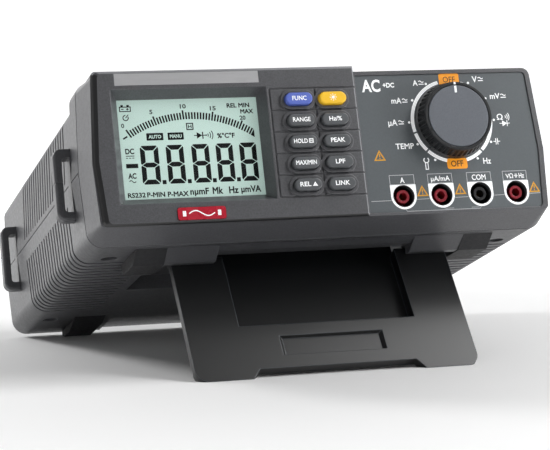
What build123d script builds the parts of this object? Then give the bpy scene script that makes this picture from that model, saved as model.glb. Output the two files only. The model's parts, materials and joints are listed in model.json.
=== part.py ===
from build123d import *
from math import atan2, cos, degrees, radians, sin, tan
import os

# Bench multimeter. Everything is modelled in the case's own frame, in millimetres:
# x to the right, y backwards from the joint between front bezel and case, z up from the
# underside of the case. The finished assembly is then leaned back on its tilt stand and
# set down with its lowest points on z = 0.

# --- case -----------------------------------------------------------------------------
SPLIT_Z = 36.5             # height of the joint between bottom and top shell
CASE_TOP_Z = 74.0          # top of the ribbed part of the case
COLLAR_TOP_Z = 80.5        # top of the collar behind the bezel
COLLAR_LENGTH = 15.5
HALF_BOTTOM = 115.6        # half widths of the case section
HALF_SPLIT = 117.2
HALF_TOP = 115.4
HALF_COLLAR_TOP = 115.1
BOTTOM_RADIUS = 8.0
TOP_RADIUS = 6.0
WALL = 2.5
SHELL_LENGTH = 212.0       # bezel joint to rear cover joint
CASE_LENGTH = 227.0        # bezel joint to the very back
RIB_COUNT = 19
RIB_FIRST_Y = 34.8
RIB_PITCH = 6.74
RIB_WIDTH = 2.4
RIB_DEPTH = 1.5
PLAIN_BAND = (8.0, 3.4)    # ungrooved height below and above the shell joint
RIB_INNER_X = 80.0         # grooves stop here on the top and the underside
SEAM = 0.6                 # width of the shadow lines where the shells and the bezel meet
SEAM_DEPTH = 0.8

# --- front ----------------------------------------------------------------------------
RIM_Y = -18.6              # front edge of the rim round the dial panel
FACE_Y = -20.35            # front face of the raised display and keypad block
FACE_BOTTOM_Z = 5.8
FACE_TOP_Z = 78.25
RIM_HALF = (112.5, 114.0, 111.4)    # half widths of the rim: bottom, shell joint, top
RIM_RADII = (2.2, 4.0)              # its bottom and top corners
RIM_LEFT_RADIUS = 1.2               # its top left corner, beside the block
BLOCK_TOP_Z = 81.1
BLOCK_RIGHT_X = 19.0
SHOULDER_Y = -19.8          # where the block's rounded edge turns into its front chamfer
SHOULDER = (0.9, 0.4)       # how far the block is drawn in there: left side, other edges
CHAMFER = (2.8, 1.0)        # and at its front face
RECESS_FLOOR_Y = -17.6
RECESS_TOP_Z = 76.2
RECESS_BOTTOM_Z = 7.1
PANEL_SHEET = 0.5
BEZEL_WALL = 2.6
BLOCK_INNER_Y = FACE_Y + BEZEL_WALL
RECESS_INNER_Y = RECESS_FLOOR_Y + BEZEL_WALL

# --- display --------------------------------------------------------------------------
HOOD = (-102.9, -26.5, 15.8, 71.5)      # mouth of the display recess: x, x, z, z
GLASS = (-98.7, -29.9, 19.7, 68.2)      # visible window: x, x, z, z
GLASS_Y = -13.35
STRIP = (-100.3, -29.7, 73.5, 79.3)
BADGE = (-76.0, -52.6, 7.3, 13.3)

# --- keypad ---------------------------------------------------------------------------
KEY_COLUMNS_X = (-11.4, 5.7)
KEY_TOP_Z = 64.1
KEY_PITCH = 10.64
KEY_WIDTH = 13.6
KEY_HEIGHT = 6.0
KEY_FRONT_Y = -24.0
KEY_TRAVEL = 1.2
KEY_GAP = 0.3
KEY_NAMES = (
    ("key_function", "key_light"),
    ("key_range", "key_frequency"),
    ("key_hold", "key_peak"),
    ("key_max_min", "key_filter"),
    ("key_relative", "key_link"),
)
PILLOW_LINES_Z = (70.0, 59.3, 48.55, 37.9, 27.2, 16.5)
PILLOW_LEFT_X = -25.0
PILLOW_DIVIDER_X = -2.3

# --- selector -------------------------------------------------------------------------
DIAL_X = 67.5
DIAL_Z = 51.9
POSITIONS = 12
SHAFT_RADIUS = 4.0
SHAFT_CLEARANCE = 0.05
KNOB_BACK_Y = -18.5
KNOB_FRONT_Y = -27.9
KNOB_BASE_RADIUS = 19.2
KNOB_TOP_RADIUS = 17.2
KNOB_CAP_RADIUS = 15.5
KNOB_CAP_GAP = 0.4
KNOB_FLUTES = 44
FLUTE_RADIUS = 0.95
FLUTE_DEPTH = 0.75
KNOB_RIM = 1.0             # smooth rim in front of the flutes
ROTOR_RADIUS = 17.0
ROTOR_Y = (-5.6, -3.8)

# --- input sockets --------------------------------------------------------------------
SOCKET_X = (37.9, 57.6, 78.0, 97.0)
SOCKET_Z = 15.1
SOCKET_NAMES = ("socket_amp", "socket_milliamp", "socket_common", "socket_volt")
SOCKET_MOUTH_RADIUS = 5.5
PLUG_RADIUS = 2.0          # bore of a 4 mm test-lead socket
SOCKET_TUBE_RADIUS = 3.3
CONTACT_RADIUS = 2.6
CONTACT_FRONT_Y = -8.9     # the metal contact sits this deep, behind a touch-proof mouth

# --- feet and tilt stand --------------------------------------------------------------
FRONT_FOOT_DROP = 6.0      # feet below the underside of the case
REAR_FOOT_DROP = 4.5
FRONT_FOOT_X = (75.8, 91.4)
REAR_FOOT_X = (71.5, 88.7)
REAR_FOOT_EDGE_Y = 214.0   # rear edge that the meter rocks back onto
STAND_AXIS_Y = 28.6
STAND_AXIS_Z = 1.0
STAND_LEAN = 25.0          # forward lean of the open stand from square to the case
STAND_LENGTH = 77.5
STAND_HALF = 71.0
STAND_THICKNESS = 5.0
STAND_FRONT_OFFSET = 3.5   # hinge axis to the stand's front face
TRAY_HALF = 44.6
TRAY_LENGTH = 46.9
TRAY_DEPTH = 7.2
TRAY_FLOOR = 1.8
PIN_RADIUS = 1.6
NOTCH_HALF = (39.3, 43.5)  # half widths of the notch between the feet: top, bottom
NOTCH_HEIGHT = 5.7
GRIP_MIDDLE = 59.1         # finger grip, measured from the hinge axis
RECESS_HALF = 75.0
RECESS_Y = (24.0, 107.0)
RECESS_DEPTH = 7.4
BAR_REAR_Y = 21.2
BAR_DROP = 5.6

# --- side loops -----------------------------------------------------------------------
LOOP_Y = (17.5, 183.0)     # front faces of the loops
LOOP_THICKNESS = 8.0
LOOP_Z = (18.1, 53.9)
LOOP_OUT_X = 125.2
LOOP_ROOT_X = 115.8        # back of the pockets that hold the loops
LOOP_CORNER = 4.2
LOOP_HOLE = (117.2, 121.2, 22.3, 49.2)  # x, x, z, z

# --- back ------------------------------------------------------------------------------
INLET = (60.0, 88.0, 18.0, 38.5)        # mains inlet cut-out: x, x, z, z
ROCKER = (34.0, 47.0, 18.0, 38.0)       # mains switch cut-out
SERIAL = (-70.0, -38.0, 20.0, 33.0)     # serial port cut-out
ROCKER_AXIS_Y = CASE_LENGTH - 2.0
ROCKER_AXIS_Z = (ROCKER[2] + ROCKER[3]) / 2
ROCKER_TILT = 9.0
VENT_COUNT = 12
VENT_FIRST_X = -88.0
VENT_PITCH = 5.5
VENT_Z = 55.0
VENT_HEIGHT = 18.0
VENT_WIDTH = 2.2

# --- inside ---------------------------------------------------------------------------
HINGE_LUG = ((71.7, 75.5), (23.5, 33.2), (-1.8, 8.0))   # x, y, z spans of one hinge lug
BATTERY_DOOR = (-70.0, 70.0, 48.0, 98.0)                # x, x, y, y
CELL_RADIUS = 12.9
CELL_LENGTH = 49.2
BOARD = 1.6                # thickness of the circuit boards
MAIN_BOARD_Z = 40.0
POWER_BOARD_Z = 12.0

# --- fasteners ------------------------------------------------------------------------
SCREWS = ((-100.5, 25.0), (100.5, 25.0), (-101.8, 183.0), (101.8, 183.0))

parts = {}


# --- small helpers --------------------------------------------------------------------
def front_plane(y):
    """Plane facing forwards at depth y, with sketch axes x and z."""
    return Plane(origin=(0, y, 0), x_dir=(1, 0, 0), z_dir=(0, -1, 0))


def prism(sketch, front, back):
    """Sketch in x and z, extruded from depth front to depth back."""
    return extrude(front_plane(back) * sketch, amount=back - front)


def profile(points, left, right):
    """Outline in y and z, extruded across from x = left to x = right."""
    plane = Plane(origin=(left, 0, 0), x_dir=(0, 1, 0), z_dir=(1, 0, 0))
    return extrude(plane * Polygon(*points, align=None), amount=right - left)


def block(x, y, z):
    """Box from three (low, high) pairs."""
    size = [span[1] - span[0] for span in (x, y, z)]
    middle = [(span[0] + span[1]) / 2 for span in (x, y, z)]
    return Pos(*middle) * Box(*size)


def rod(x, z, radius, front, back):
    """Round bar along y."""
    return prism(Pos(x, z) * Circle(radius), front, back)


def post(x, y, radius, low, high):
    """Round bar along z."""
    return Pos(x, y, (low + high) / 2) * Cylinder(radius, high - low)


def window(left, right, low, high, grow=0.0):
    """Rectangle sketch in x and z, grown by the given margin."""
    centre = Pos((left + right) / 2, (low + high) / 2)
    return centre * Rectangle(right - left + 2 * grow, high - low + 2 * grow)


def both_sides(shape):
    """The shape and its mirror image across the middle plane of the case."""
    return shape + mirror(shape, about=Plane.YZ)


def outline(bottom_z, top_z, half_bottom, half_split, half_top, bottom_radius, top_radius,
            grow=0.0, left_radius=None):
    """Six-sided case section, widest at the shell joint, with rounded corners."""
    points = (
        (-half_bottom - grow, bottom_z - grow),
        (half_bottom + grow, bottom_z - grow),
        (half_split + grow, SPLIT_Z),
        (half_top + grow, top_z + grow),
        (-half_top - grow, top_z + grow),
        (-half_split - grow, SPLIT_Z),
    )
    section = Polygon(*points, align=None)
    corners = section.vertices().sort_by(Axis.Y)
    section = fillet(corners[:2], bottom_radius + grow)
    left_top = section.vertices().sort_by_distance((-half_top - grow, top_z + grow, 0))[0]
    section = fillet(left_top, (left_radius or top_radius) + grow)
    right_top = section.vertices().sort_by_distance((half_top + grow, top_z + grow, 0))[0]
    return fillet(right_top, top_radius + grow)


def case_outline(grow=0.0, top_z=CASE_TOP_Z, half_top=HALF_TOP):
    return outline(0, top_z, HALF_BOTTOM, HALF_SPLIT, half_top, BOTTOM_RADIUS, TOP_RADIUS, grow)


def collar_outline(grow=0.0):
    return case_outline(grow, COLLAR_TOP_Z, HALF_COLLAR_TOP)


# --- case shells ----------------------------------------------------------------------
def shell_body():
    """Both shells as one hollow tube, open at the front and the rear."""
    collar = prism(collar_outline(), 0, COLLAR_LENGTH)
    body = prism(case_outline(), 0, SHELL_LENGTH)
    hollow = prism(collar_outline(-WALL), 0, COLLAR_LENGTH - WALL)
    hollow += prism(case_outline(-WALL), 0, SHELL_LENGTH)
    return collar + body - hollow


def rib_grooves():
    """Shallow grooves that run round the sides and a little way over top and underside."""
    grooves = None
    for index in range(RIB_COUNT):
        y = RIB_FIRST_Y + index * RIB_PITCH
        front, back = y - RIB_WIDTH / 2, y + RIB_WIDTH / 2
        ring = prism(case_outline(1.0) - case_outline(-RIB_DEPTH), front, back)
        grooves = ring if grooves is None else grooves + ring
    span_y = (0, SHELL_LENGTH)
    grooves -= block((-RIB_INNER_X, RIB_INNER_X), span_y, (-5, COLLAR_TOP_Z + 5))
    grooves -= block((-130, 130), span_y, (SPLIT_Z - PLAIN_BAND[0], SPLIT_Z + PLAIN_BAND[1]))
    return grooves


def loop_outline(grow=0.0):
    """Outer outline of a side loop, its corners rounded away from the case."""
    low, high = LOOP_Z
    middle = Pos((LOOP_ROOT_X + LOOP_OUT_X) / 2, (low + high) / 2)
    section = middle * Rectangle(LOOP_OUT_X - LOOP_ROOT_X + 2 * grow, high - low + 2 * grow)
    return fillet(section.vertices().sort_by(Axis.X)[-2:], LOOP_CORNER + grow)


def loop_pockets():
    """Shallow pockets in the sides that the loops are held in."""
    pockets = None
    for y in LOOP_Y:
        pocket = prism(loop_outline(0.03), y - 0.03, y + LOOP_THICKNESS + 0.03)
        pockets = pocket if pockets is None else pockets + pocket
    return both_sides(pockets)


def side_loops():
    """Four flat loops that stand out from the sides, marked at the height of the shell joint."""
    inner, outer, low, high = LOOP_HOLE
    opening = Pos((inner + outer) / 2, (low + high) / 2) * Rectangle(outer - inner, high - low)
    opening = fillet(opening.vertices().sort_by(Axis.X)[-2:], 1.6)
    mark = loop_outline(1) - loop_outline(-0.4)
    loops = None
    for y in LOOP_Y:
        loop = prism(loop_outline(), y, y + LOOP_THICKNESS)
        rounded = [edge for edge in loop.edges() if edge.center().X > LOOP_OUT_X - LOOP_CORNER - 0.1
                   and abs(edge.center().Y - y - LOOP_THICKNESS / 2) > 3.9]
        loop = fillet(rounded, 1.5)
        loop -= prism(opening, y - 1, y + LOOP_THICKNESS + 1)
        joint = prism(mark, y - 1, y + LOOP_THICKNESS + 1)
        joint += block((110, 130), (y - 1, y + 0.4), (0, 90))
        loop -= joint & block((110, 130), (y - 2, y + 20), (SPLIT_Z, SPLIT_Z + SEAM))
        loops = loop if loops is None else loops + loop
    return both_sides(loops)


def screw_posts(low, high, radius):
    posts = None
    for x, y in SCREWS:
        bar = post(x, y, radius, low, high)
        posts = bar if posts is None else posts + bar
    return posts


def stand_recess():
    """Space under the case that the folded stand lies in."""
    return block((-RECESS_HALF, RECESS_HALF), RECESS_Y, (-1, RECESS_DEPTH))


def front_bar():
    """Wedge under the front edge that the open stand leans on, lower towards the ends."""
    middle = profile(((5.5, 0), (12.0, -1.5), (BAR_REAR_Y, -1.5), (BAR_REAR_Y, 0)), -50, 50)
    end_points = ((5.5, 0), (16.0, -BAR_DROP), (BAR_REAR_Y, -BAR_DROP), (BAR_REAR_Y, 0))
    ends = both_sides(profile(end_points, 50, FRONT_FOOT_X[0]))
    return middle + ends


def bottom_shell():
    body = shell_body() & block((-130, 130), (0, SHELL_LENGTH), (-1, SPLIT_Z))
    # roof over the stand recess, and the thicker floor over the rear step
    body += block((-RECESS_HALF - WALL, RECESS_HALF + WALL),
                  (RECESS_Y[0] - WALL, RECESS_Y[1] + WALL), (0, RECESS_DEPTH + WALL))
    body += block((-66, 66), (188 - WALL, SHELL_LENGTH - 4), (0, 4.3))
    body += front_bar()
    body += screw_posts(1, SPLIT_Z - 0.2, 6.5)
    for x in (-92, 92):
        for y in (40, 118):
            body += post(x, y, 3.5, 1, 40.0)
    body -= stand_recess()
    body -= block((-66, 66), (188, SHELL_LENGTH + 1), (-1, 1.8))
    body += both_sides(block(*HINGE_LUG))
    door = BATTERY_DOOR
    body -= block((door[0] - 0.2, door[1] + 0.2), (door[2] - 0.2, door[3] + 0.2),
                  (RECESS_DEPTH - 1, RECESS_DEPTH + WALL + 1))
    # holes that the stand's hinge pins press into
    for side in (-1, 1):
        hole = Pos(side * (HINGE_LUG[0][0] + 1.5), STAND_AXIS_Y, STAND_AXIS_Z) * Rot(0, 90, 0)
        body -= hole * Cylinder(PIN_RADIUS, 4.2)
    body -= rib_grooves()
    body -= loop_pockets()
    for x, y in SCREWS:
        body -= post(x, y, 1.8, -1, SPLIT_Z + 1)
        body -= post(x, y, 4.2, -1, 6.0)
    return body


def top_shell():
    body = shell_body() & block((-130, 130), (0, SHELL_LENGTH), (SPLIT_Z, COLLAR_TOP_Z + 1))
    body += screw_posts(SPLIT_Z + 0.2, CASE_TOP_Z - 1, 5.0)
    body -= rib_grooves()
    body -= loop_pockets()
    body -= both_sides(block((HALF_SPLIT - SEAM_DEPTH, 130), (-1, SHELL_LENGTH + 1),
                             (SPLIT_Z, SPLIT_Z + SEAM)))
    body -= screw_posts(SPLIT_Z - 1, 52, 1.25)
    return body


def rear_cover():
    """Shallow cap that closes the back, with cut-outs for the connectors."""
    straight = prism(case_outline(), SHELL_LENGTH, CASE_LENGTH - 3)
    tail = loft([front_plane(CASE_LENGTH - 3) * case_outline(),
                 front_plane(CASE_LENGTH) * case_outline(-2.4)])
    body = straight + tail
    body -= prism(case_outline(-WALL), SHELL_LENGTH, CASE_LENGTH - WALL)
    lip = prism(case_outline(-WALL - 0.15) - case_outline(-WALL - 1.8), SHELL_LENGTH - 4,
                CASE_LENGTH - WALL)
    lip -= block((-67, 67), (SHELL_LENGTH - 5, SHELL_LENGTH + 1), (0, 4.6))
    body += lip
    body -= block((-66, 66), (SHELL_LENGTH - 5, CASE_LENGTH + 1), (-1, 1.8))
    body += block((-66, 66), (SHELL_LENGTH + 0.5, CASE_LENGTH - 3), (1.8, 4.3))
    body -= prism(window(*INLET), SHELL_LENGTH, CASE_LENGTH + 1)
    body -= prism(window(*ROCKER), SHELL_LENGTH, CASE_LENGTH + 1)
    body -= prism(window(*SERIAL), SHELL_LENGTH, CASE_LENGTH + 1)
    for index in range(VENT_COUNT):
        slot = SlotOverall(VENT_HEIGHT, VENT_WIDTH, rotation=90)
        slot = Pos(VENT_FIRST_X + VENT_PITCH * index, VENT_Z) * slot
        body -= prism(slot, SHELL_LENGTH, CASE_LENGTH + 1)
    return body


# --- front bezel ----------------------------------------------------------------------
def bezel_section(y, grow=0.0):
    """Bezel section at the case joint (y = 0) or at its rim."""
    if y == 0:
        flat = collar_outline(grow)
    else:
        flat = outline(FACE_BOTTOM_Z, FACE_TOP_Z, *RIM_HALF, *RIM_RADII, grow, RIM_LEFT_RADIUS)
    return front_plane(y) * flat


def raised_block_section(y, side, edge):
    """Front outline of the display and keypad block, drawn in at its edges."""
    points = (
        (-111.6 + side, FACE_BOTTOM_Z + edge),
        (BLOCK_RIGHT_X - edge, FACE_BOTTOM_Z + edge),
        (BLOCK_RIGHT_X - edge, BLOCK_TOP_Z - edge * 1.6),
        (-111.2 + side, BLOCK_TOP_Z - edge * 1.6),
        (-113.8 + side, SPLIT_Z),
    )
    section = Polygon(*points, align=None)
    section = fillet(section.vertices().sort_by(Axis.X)[1:3], 2.5)
    return front_plane(y) * section


def key_positions():
    """Name, x and z of each key, row by row."""
    places = []
    for row, names in enumerate(KEY_NAMES):
        for name, x in zip(names, KEY_COLUMNS_X):
            places.append((name, x, KEY_TOP_Z - row * KEY_PITCH))
    return places


def dial_recess(grow=0.0):
    """Outline of the flat panel to the right of the block."""
    points = (
        (BLOCK_RIGHT_X + 0.6 - grow, RECESS_BOTTOM_Z - grow),
        (RIM_HALF[0] - 2.7 + grow, RECESS_BOTTOM_Z - grow),
        (RIM_HALF[1] - 2.7 + grow, SPLIT_Z),
        (RIM_HALF[2] - 2.4 + grow, RECESS_TOP_Z + grow),
        (BLOCK_RIGHT_X + 0.6 - grow, RECESS_TOP_Z + grow),
    )
    section = Polygon(*points, align=None)
    return fillet(section.vertices().sort_by(Axis.X)[2:4], 2.0)


def pillow_grooves():
    """Lines that divide the keypad into cushions."""
    front, back = FACE_Y - 1, FACE_Y + 0.6
    width = 0.9
    right = BLOCK_RIGHT_X + 1
    grooves = None
    for z in PILLOW_LINES_Z:
        line = block((PILLOW_LEFT_X, right), (front, back), (z - width / 2, z + width / 2))
        grooves = line if grooves is None else grooves + line
    grooves += block((PILLOW_DIVIDER_X - width / 2, PILLOW_DIVIDER_X + width / 2), (front, back),
                     (PILLOW_LINES_Z[-1], PILLOW_LINES_Z[0]))
    grooves += block((PILLOW_LEFT_X - width / 2, PILLOW_LEFT_X + width / 2), (front, back),
                     (PILLOW_LINES_Z[-1], PILLOW_LINES_Z[0]))
    return grooves


def front_bezel():
    body = loft([bezel_section(0), bezel_section(RIM_Y)], ruled=True)
    root = raised_block_section(-2.0, 0, 0)
    rim = raised_block_section(RIM_Y, 0, 0)
    shoulder = raised_block_section(SHOULDER_Y, *SHOULDER)
    face = raised_block_section(FACE_Y, *CHAMFER)
    for back, front in ((root, rim), (rim, shoulder), (shoulder, face)):
        body += loft([back, front], ruled=True)
    hollow = loft([bezel_section(0, -BEZEL_WALL),
                   front_plane(BLOCK_INNER_Y) * outline(FACE_BOTTOM_Z, FACE_TOP_Z, *RIM_HALF, 5.5, 4.5,
                                                        -BEZEL_WALL)], ruled=True)
    hollow -= block((BLOCK_RIGHT_X - BEZEL_WALL, 130), (-30, RECESS_INNER_Y), (-1, 90))
    body -= hollow
    # shadow line at the joint with the case
    body -= prism(collar_outline(1) - collar_outline(-SEAM_DEPTH), -SEAM, 0)
    # lip that slides inside the shells
    body += prism(collar_outline(-WALL - 0.1) - collar_outline(-WALL - 1.9), -2, 3.5)
    # tub behind the display recess, and the recess itself
    tub = (HOOD[0] - 2.5, HOOD[1] + 2.5, HOOD[2] - 2.5, HOOD[3] + 2.5)
    body += prism(window(*tub), BLOCK_INNER_Y - 0.5, -11.0)
    recess = loft([front_plane(FACE_Y - 0.4) * window(*HOOD, grow=0.2),
                   front_plane(GLASS_Y) * window(*GLASS)], ruled=True)
    body -= recess
    body -= prism(window(*GLASS), GLASS_Y - 1, 0)
    body -= prism(window(*GLASS, grow=2.1), GLASS_Y, 0)
    # shallow seats for the printed strip, the badge and the dial panel
    body -= prism(window(*STRIP, grow=0.05), FACE_Y - 1, FACE_Y + 0.3)
    body -= prism(window(*BADGE, grow=0.05), FACE_Y - 1, FACE_Y + 0.4)
    body -= prism(dial_recess(), FACE_Y - 2, RECESS_FLOOR_Y)
    # keypad cushions, collars and openings
    body -= pillow_grooves()
    for _, x, z in key_positions():
        body += prism(Pos(x, z) * SlotOverall(KEY_WIDTH + 3.8, KEY_HEIGHT + 3.6), FACE_Y - 1.1,
                      BLOCK_INNER_Y)
    for _, x, z in key_positions():
        hole = SlotOverall(KEY_WIDTH + 2 * KEY_GAP, KEY_HEIGHT + 2 * KEY_GAP)
        body -= prism(Pos(x, z) * hole, FACE_Y - 3, BLOCK_INNER_Y + 1)
    # selector bearing
    body += rod(DIAL_X, DIAL_Z, 8.0, RECESS_FLOOR_Y + 0.5, -6.4)
    body -= rod(DIAL_X, DIAL_Z, SHAFT_RADIUS + SHAFT_CLEARANCE, FACE_Y - 3, 0)
    for x in SOCKET_X:
        body -= rod(x, SOCKET_Z, SOCKET_MOUTH_RADIUS, FACE_Y - 3, 0)
    return body


def dial_panel():
    """Printed sheet with holes for the selector shaft and the input sockets."""
    sheet = prism(dial_recess(-0.15), RECESS_FLOOR_Y - PANEL_SHEET, RECESS_FLOOR_Y)
    sheet -= rod(DIAL_X, DIAL_Z, SHAFT_RADIUS + 0.3, -30, 0)
    for x in SOCKET_X:
        sheet -= rod(x, SOCKET_Z, SOCKET_MOUTH_RADIUS, -30, 0)
    return sheet


# --- display stack --------------------------------------------------------------------
def display_parts():
    parts["label_strip"] = prism(window(*STRIP), FACE_Y - 0.02, FACE_Y + 0.3)
    badge = prism(window(*BADGE), FACE_Y - 0.5, FACE_Y + 0.4)
    parts["badge_plate"] = fillet(badge.edges().filter_by(Axis.Y), 1.2)
    parts["lcd_window"] = prism(window(*GLASS, grow=1.9), GLASS_Y, GLASS_Y + 1.5)
    parts["lcd_glass"] = prism(window(*GLASS, grow=0.8), GLASS_Y + 1.6, GLASS_Y + 3.8)
    light = (GLASS[0] + 1, GLASS[1] - 1, GLASS[2] + 2.4, GLASS[3] - 2.4)
    parts["backlight"] = prism(window(*light), GLASS_Y + 3.9, GLASS_Y + 7.8)
    frame = window(*GLASS, grow=4.2) - window(*GLASS, grow=1.1)
    parts["lcd_frame"] = prism(frame, -10.9, GLASS_Y + 8.2)
    strips = None
    for z in (GLASS[2] + 0.2, GLASS[3] - 2.0):
        strip = block((GLASS[0] + 2, GLASS[1] - 2), (GLASS_Y + 3.85, GLASS_Y + 8.25), (z, z + 1.8))
        strips = strip if strips is None else strips + strip
    parts["contact_strips"] = strips
    parts["display_board"] = prism(window(*GLASS, grow=5.0), GLASS_Y + 8.3, GLASS_Y + 9.9)


# --- keypad ---------------------------------------------------------------------------
def key_cap(x, z):
    """Pill-shaped cap with a retaining flange behind the bezel."""
    stem = prism(Pos(x, z) * SlotOverall(KEY_WIDTH, KEY_HEIGHT), KEY_FRONT_Y, BLOCK_INNER_Y + 0.4)
    stem = fillet(stem.faces().sort_by(Axis.Y)[0].edges(), 0.8)
    flange = prism(Pos(x, z) * SlotOverall(KEY_WIDTH + 2.4, KEY_HEIGHT + 2.4),
                   BLOCK_INNER_Y + 0.3, BLOCK_INNER_Y + 1.1)
    return stem + flange


def keypad_parts():
    for name, x, z in key_positions():
        parts[name] = key_cap(x, z)
    mat_front = BLOCK_INNER_Y + 1.1 + KEY_TRAVEL + 0.35
    area = (-22.4, 16.0, 14.8, 70.6)
    mat = prism(window(*area), mat_front, mat_front + 1.0)
    for _, x, z in key_positions():
        mat += rod(x, z, 2.6, mat_front - 0.2, mat_front + 0.5)
    parts["keypad_mat"] = mat
    parts["keypad_board"] = prism(window(*area), mat_front + 1.1, mat_front + 2.7)


# --- selector -------------------------------------------------------------------------
def on_dial(shape, angle):
    """The shape turned clockwise about the dial axis, seen from the front."""
    centre = Pos(DIAL_X, 0, DIAL_Z)
    return centre * Rot(0, angle, 0) * centre.inverse() * shape


def selector_knob():
    """Conical knob with a fluted skirt and a seat for the cap."""
    skirt_y = KNOB_BACK_Y - 3.0
    front = front_plane(KNOB_FRONT_Y)
    middle = front_plane(skirt_y)
    back = front_plane(KNOB_BACK_Y)
    centre = Pos(DIAL_X, DIAL_Z)
    base = loft([back * (centre * Circle(KNOB_BASE_RADIUS)),
                 middle * (centre * Circle(KNOB_BASE_RADIUS - 0.6))])
    cone = loft([middle * (centre * Circle(KNOB_BASE_RADIUS - 0.6)),
                 front * (centre * Circle(KNOB_TOP_RADIUS))])
    flute_axis = Pos(DIAL_X, 0, DIAL_Z)
    spread = KNOB_BASE_RADIUS - 0.6 - KNOB_TOP_RADIUS
    lean = degrees(atan2(spread, skirt_y - KNOB_FRONT_Y))
    # flutes run from behind the smooth rim to just past the skirt's edge
    length = skirt_y - KNOB_FRONT_Y - KNOB_RIM + 0.4
    middle_y = KNOB_FRONT_Y + KNOB_RIM + length / 2
    surface = KNOB_TOP_RADIUS + spread * (middle_y - KNOB_FRONT_Y) / (skirt_y - KNOB_FRONT_Y)
    cutter = None
    for index in range(KNOB_FLUTES):
        groove = Pos(surface + FLUTE_RADIUS - FLUTE_DEPTH, middle_y, 0) * Rot(0, 0, -lean)
        groove = groove * Rot(90, 0, 0) * Cylinder(FLUTE_RADIUS, length)
        groove = flute_axis * Rot(0, 360 / KNOB_FLUTES * index, 0) * groove
        cutter = groove if cutter is None else cutter + groove
    knob = base + cone - cutter
    knob -= rod(DIAL_X, DIAL_Z, KNOB_CAP_RADIUS + KNOB_CAP_GAP, KNOB_FRONT_Y - 1, KNOB_FRONT_Y + 1.2)
    knob -= rod(DIAL_X, DIAL_Z, SHAFT_RADIUS + 0.01, KNOB_FRONT_Y + 2.4, 0)
    return knob


def selector_parts():
    parts["selector_knob"] = selector_knob()
    cap = rod(DIAL_X, DIAL_Z, KNOB_CAP_RADIUS, KNOB_FRONT_Y - 0.25, KNOB_FRONT_Y + 1.15)
    parts["knob_cap"] = fillet(cap.faces().sort_by(Axis.Y)[0].edges(), 0.4)
    parts["selector_shaft"] = rod(DIAL_X, DIAL_Z, SHAFT_RADIUS, KNOB_FRONT_Y + 2.5, -0.4)
    rotor = rod(DIAL_X, DIAL_Z, ROTOR_RADIUS, *ROTOR_Y) - rod(DIAL_X, DIAL_Z, SHAFT_RADIUS, -8, 0)
    contacts = None
    for index in range(POSITIONS):
        notch = rod(DIAL_X, DIAL_Z + ROTOR_RADIUS + 0.7, 1.5, *ROTOR_Y)
        rotor -= on_dial(notch, index * 360 / POSITIONS)
    for angle, radius in ((0, 13.5), (120, 11.0), (240, 8.5)):
        wiper = block((DIAL_X - 2.5, DIAL_X + 2.5), (ROTOR_Y[1], ROTOR_Y[1] + 0.6),
                      (DIAL_Z + radius - 0.9, DIAL_Z + radius + 0.9))
        wiper = on_dial(wiper, angle)
        contacts = wiper if contacts is None else contacts + wiper
    parts["switch_rotor"] = rotor
    parts["rotor_contacts"] = contacts
    board = prism(window(28, 106, 26, 76), ROTOR_Y[1] + 0.9, ROTOR_Y[1] + 2.5)
    parts["switch_board"] = board - rod(DIAL_X, DIAL_Z, SHAFT_RADIUS + 0.6, -5, 2)
    ball_z = DIAL_Z + ROTOR_RADIUS + 1.75
    ball = Pos(DIAL_X, sum(ROTOR_Y) / 2, ball_z) * Sphere(1.4)
    leaf = block((DIAL_X - 9, DIAL_X + 9), ROTOR_Y, (ball_z + 1.45, ball_z + 1.8))
    parts["detent"] = ball + leaf


# --- input sockets --------------------------------------------------------------------
def socket_parts():
    mouth_y = RECESS_INNER_Y + 0.1
    base_y = -4.0
    shrouds = None
    contacts = None
    for name, x in zip(SOCKET_NAMES, SOCKET_X):
        tube = rod(x, SOCKET_Z, 7.0, mouth_y, base_y)
        tube -= rod(x, SOCKET_Z, SOCKET_MOUTH_RADIUS, mouth_y - 1, base_y)
        shrouds = tube if shrouds is None else shrouds + tube
        inner = rod(x, SOCKET_Z, SOCKET_TUBE_RADIUS, RECESS_FLOOR_Y + 1.0, base_y)
        inner += rod(x, SOCKET_Z, 7.0, base_y, base_y + 2.2)
        inner -= rod(x, SOCKET_Z, PLUG_RADIUS, -20, CONTACT_FRONT_Y)
        parts[name] = inner - rod(x, SOCKET_Z, CONTACT_RADIUS + 0.05, CONTACT_FRONT_Y - 0.05, 2)
        barrel = rod(x, SOCKET_Z, CONTACT_RADIUS, CONTACT_FRONT_Y, 8.0)
        barrel -= rod(x, SOCKET_Z, PLUG_RADIUS, -20, 4.0)
        contacts = barrel if contacts is None else contacts + barrel
    parts["socket_shrouds"] = shrouds
    parts["socket_contacts"] = contacts


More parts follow.
